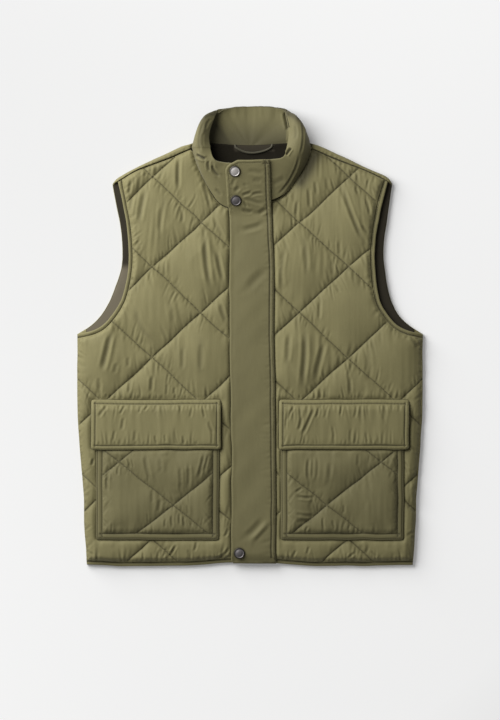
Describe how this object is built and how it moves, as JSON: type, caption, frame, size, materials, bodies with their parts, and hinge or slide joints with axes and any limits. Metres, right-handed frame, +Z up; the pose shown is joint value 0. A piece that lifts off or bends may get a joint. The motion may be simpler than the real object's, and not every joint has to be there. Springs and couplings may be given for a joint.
{
  "type": "quilted vest",
  "caption": "Olive sleeveless vest lying on its back: diamond-quilted fronts, stand collar, full-length snap placket, flap patch pockets and a dark lining.",
  "frame": {"origin": "middle of the bounding box, on the surface that the back lies on", "axes": "+Y from hem to collar, +Z up out of the front, +X to the wearer's left"},
  "size_m": [0.554, 0.7373, 0.039],
  "materials": {
    "shell_cloth": "matte plain weave",
    "lining_cloth": "smooth dull lining",
    "loop_tape": "rolled cloth tape",
    "snap_metal": "dark gunmetal"
  },
  "bodies": {
    "root": {"back_panel": "shell_cloth", "front_right": "shell_cloth", "front_left": "shell_cloth", "collar": "shell_cloth", "placket": "shell_cloth", "pocket_right": "shell_cloth", "pocket_left": "shell_cloth", "pocket_flap_right": "shell_cloth", "pocket_flap_left": "shell_cloth", "armhole_binding_right": "shell_cloth", "armhole_binding_left": "shell_cloth", "hem_band_right": "shell_cloth", "hem_band_left": "shell_cloth", "hem_band_back": "shell_cloth", "back_lining": "lining_cloth", "hanger_loop": "loop_tape", "snap_collar": "snap_metal", "snap_neck": "snap_metal", "snap_hem": "snap_metal"}
  },
  "joints": []
}
